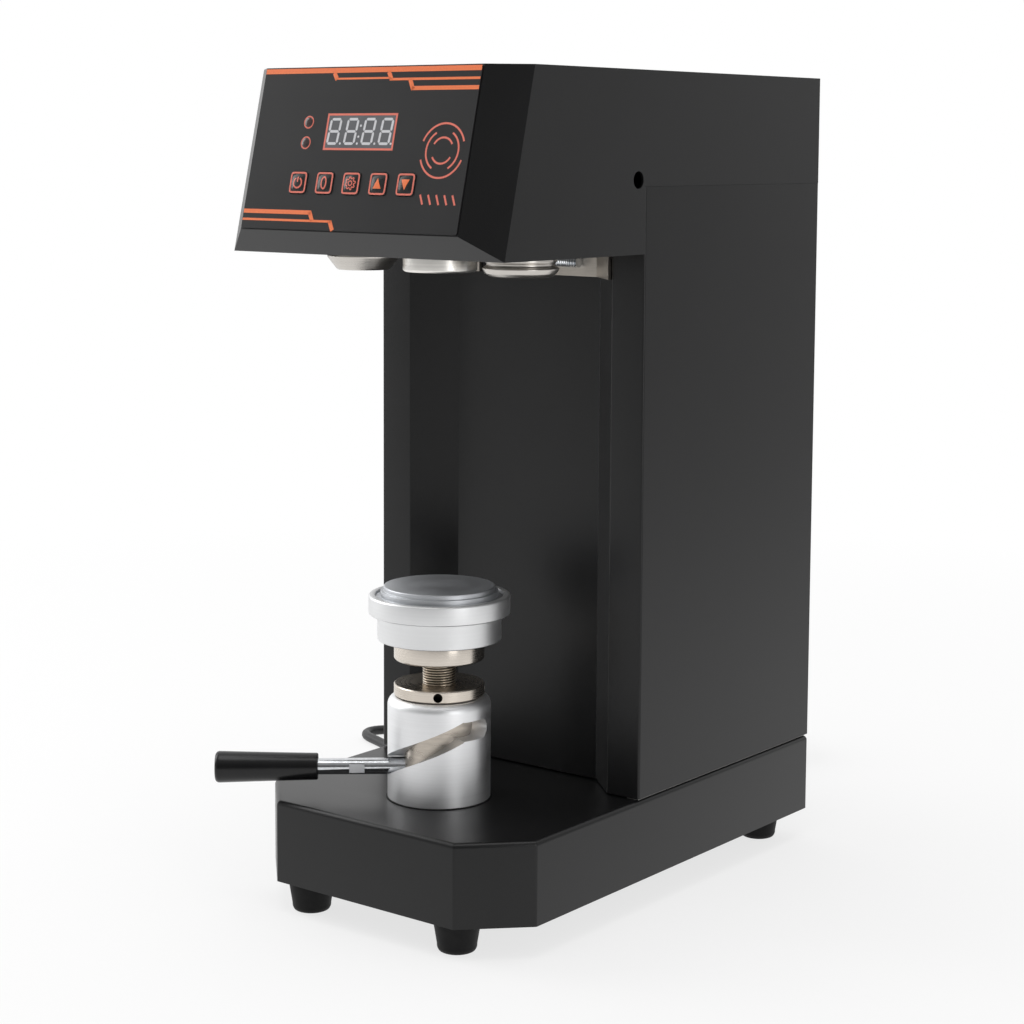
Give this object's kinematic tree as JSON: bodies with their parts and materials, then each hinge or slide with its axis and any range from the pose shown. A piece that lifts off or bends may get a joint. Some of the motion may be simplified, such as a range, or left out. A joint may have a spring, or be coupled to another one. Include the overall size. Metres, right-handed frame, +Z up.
{
  "type": "can seamer",
  "caption": "Bench can seamer: a lever turns a piston in a helical slot to lift the can's table to a spinning chuck, and seaming rollers swing in to close the can's lid.",
  "frame": {"origin": "middle of the machine's footprint, on the surface that it stands on, its mains lead left out", "axes": "+Z up, +Y towards the rear cover, +X to the right for a user who stands in front, so away from the lever"},
  "size_m": [0.3937, 0.5528, 0.4945],
  "materials": {
    "powder_black": "fine satin powder coat",
    "rubber_black": "moulded, matt",
    "grip_black": "smooth semi-gloss moulding",
    "plate_steel": "ground and oiled",
    "black_screw": "black oxide",
    "warm_steel": "bright turned, slightly warm",
    "overlay_print": "printed film, orange lines on dark grey",
    "key_dark": "printed film over the key",
    "lamp_red": "tinted lens, unlit",
    "display_dark": "grey window with pale segments",
    "board_green": "solder-resist green",
    "anodised": "bead blasted and clear anodised",
    "disc_grey": "grey non-slip disc",
    "chuck_steel": "hardened and ground",
    "zinc": "bright zinc plate",
    "bearing_steel": "polished",
    "motor_black": "semi-gloss paint on a ribbed housing",
    "belt_black": "matt",
    "supply_steel": "folded sheet, plain",
    "drive_grey": "moulded case"
  },
  "bodies": {
    "machine": {"base_shell": "powder_black", "bottom_cover": "powder_black", "rubber_feet": "rubber_black", "mount_plate": "plate_steel", "frame_side_plates": "plate_steel", "head_plate": "plate_steel", "frame_bolts": "black_screw", "column_shell": "powder_black", "head_bracket": "warm_steel", "head_shell": "powder_black", "control_overlay": "overlay_print", "panel_lamps": "lamp_red", "display_module": "display_dark", "control_board": "board_green", "rear_cover": "powder_black", "case_screws": "black_screw", "lift_cylinder": "anodised", "spindle_housing": "plate_steel", "spindle_bearings": "bearing_steel", "motor_body": "motor_black", "drive_belt": "belt_black", "linear_drives": "drive_grey", "power_supply": "supply_steel", "strain_relief": "rubber_black", "power_cord": "rubber_black", "power_cord_coil": "rubber_black", "power_plug": "rubber_black"},
    "lift": {"bearing_ball_cage": "bearing_steel"},
    "lever": {"lift_piston": "anodised", "lever_rod": "zinc", "lever_grip": "grip_black", "lift_stud": "warm_steel", "lock_ring": "warm_steel", "turntable_hub": "warm_steel", "bearing_low_race": "bearing_steel"},
    "can_table": {"turntable": "anodised", "can_disc": "disc_grey", "bearing_top_race": "bearing_steel"},
    "spindle": {"seaming_chuck": "chuck_steel", "chuck_screw": "zinc", "spindle_shaft": "plate_steel", "spindle_pulley": "anodised"},
    "motor_rotor": {"motor_shaft": "plate_steel", "motor_pulley": "anodised"},
    "arm_left": {"roller_arm_left": "plate_steel", "crank_left": "plate_steel", "roller_pin_left": "zinc"},
    "roller_left": {"seaming_roller_left": "chuck_steel"},
    "rod_left": {"drive_rod_left": "zinc"},
    "arm_right": {"roller_arm_right": "plate_steel", "crank_right": "plate_steel", "roller_pin_right": "zinc"},
    "roller_right": {"seaming_roller_right": "chuck_steel"},
    "rod_right": {"drive_rod_right": "zinc"},
    "key_power_cap": {"key_power": "key_dark"},
    "key_zero_cap": {"key_zero": "key_dark"},
    "key_gear_cap": {"key_gear": "key_dark"},
    "key_up_cap": {"key_up": "key_dark"},
    "key_down_cap": {"key_down": "key_dark"}
  },
  "joints": [
    {"name": "lift_rise", "type": "slide", "parent": "machine", "child": "lift", "axis": [0, 0, 1], "range_m": [0, 0.027]},
    {"name": "lever_turn", "type": "hinge", "parent": "lift", "child": "lever", "pos_m": [0, -0.0835, 0.0856], "axis": [0, 0, 1], "range_deg": [0, 118]},
    {"name": "can_table_spin", "type": "hinge", "parent": "lift", "child": "can_table", "pos_m": [0, -0.0835, 0.18], "axis": [0, 0, 1], "continuous": true},
    {"name": "spindle_spin", "type": "hinge", "parent": "machine", "child": "spindle", "pos_m": [0, -0.0835, 0.39], "axis": [0, 0, 1], "continuous": true},
    {"name": "motor_spin", "type": "hinge", "parent": "machine", "child": "motor_rotor", "pos_m": [0, 0.0876, 0.44], "axis": [0, 0, 1], "continuous": true},
    {"name": "arm_left_swing", "type": "hinge", "parent": "machine", "child": "arm_left", "pos_m": [-0.07, -0.035, 0.4], "axis": [0, 0, 1], "range_deg": [0, 17.7]},
    {"name": "roller_left_spin", "type": "hinge", "parent": "arm_left", "child": "roller_left", "pos_m": [-0.059, -0.0835, 0.385], "axis": [0, 0, 1], "continuous": true},
    {"name": "rod_left_push", "type": "slide", "parent": "machine", "child": "rod_left", "axis": [0, 1, 0], "range_m": [0, 0.0085]},
    {"name": "arm_right_swing", "type": "hinge", "parent": "machine", "child": "arm_right", "pos_m": [0.07, -0.035, 0.4], "axis": [0, 0, -1], "range_deg": [0, 17.7]},
    {"name": "roller_right_spin", "type": "hinge", "parent": "arm_right", "child": "roller_right", "pos_m": [0.059, -0.0835, 0.385], "axis": [0, 0, 1], "continuous": true},
    {"name": "rod_right_push", "type": "slide", "parent": "machine", "child": "rod_right", "axis": [0, 1, 0], "range_m": [0, 0.0085]},
    {"name": "key_power_press", "type": "slide", "parent": "machine", "child": "key_power_cap", "axis": [0, 0.9713, -0.2378], "range_m": [0, 0.0008], "stiffness_N_per_m": 400, "springref_m": -0.001},
    {"name": "key_zero_press", "type": "slide", "parent": "machine", "child": "key_zero_cap", "axis": [0, 0.9713, -0.2378], "range_m": [0, 0.0008], "stiffness_N_per_m": 400, "springref_m": -0.001},
    {"name": "key_gear_press", "type": "slide", "parent": "machine", "child": "key_gear_cap", "axis": [0, 0.9713, -0.2378], "range_m": [0, 0.0008], "stiffness_N_per_m": 400, "springref_m": -0.001},
    {"name": "key_up_press", "type": "slide", "parent": "machine", "child": "key_up_cap", "axis": [0, 0.9713, -0.2378], "range_m": [0, 0.0008], "stiffness_N_per_m": 400, "springref_m": -0.001},
    {"name": "key_down_press", "type": "slide", "parent": "machine", "child": "key_down_cap", "axis": [0, 0.9713, -0.2378], "range_m": [0, 0.0008], "stiffness_N_per_m": 400, "springref_m": -0.001}
  ],
  "couplings": [
    {"joint": "lift_rise", "follows": "lever_turn", "m_per_rad": 0.01311},
    {"joint": "motor_spin", "follows": "spindle_spin", "ratio": 1.6667},
    {"joint": "rod_left_push", "follows": "arm_left_swing", "m_per_rad": 0.0275},
    {"joint": "rod_right_push", "follows": "arm_right_swing", "m_per_rad": 0.0275}
  ]
}
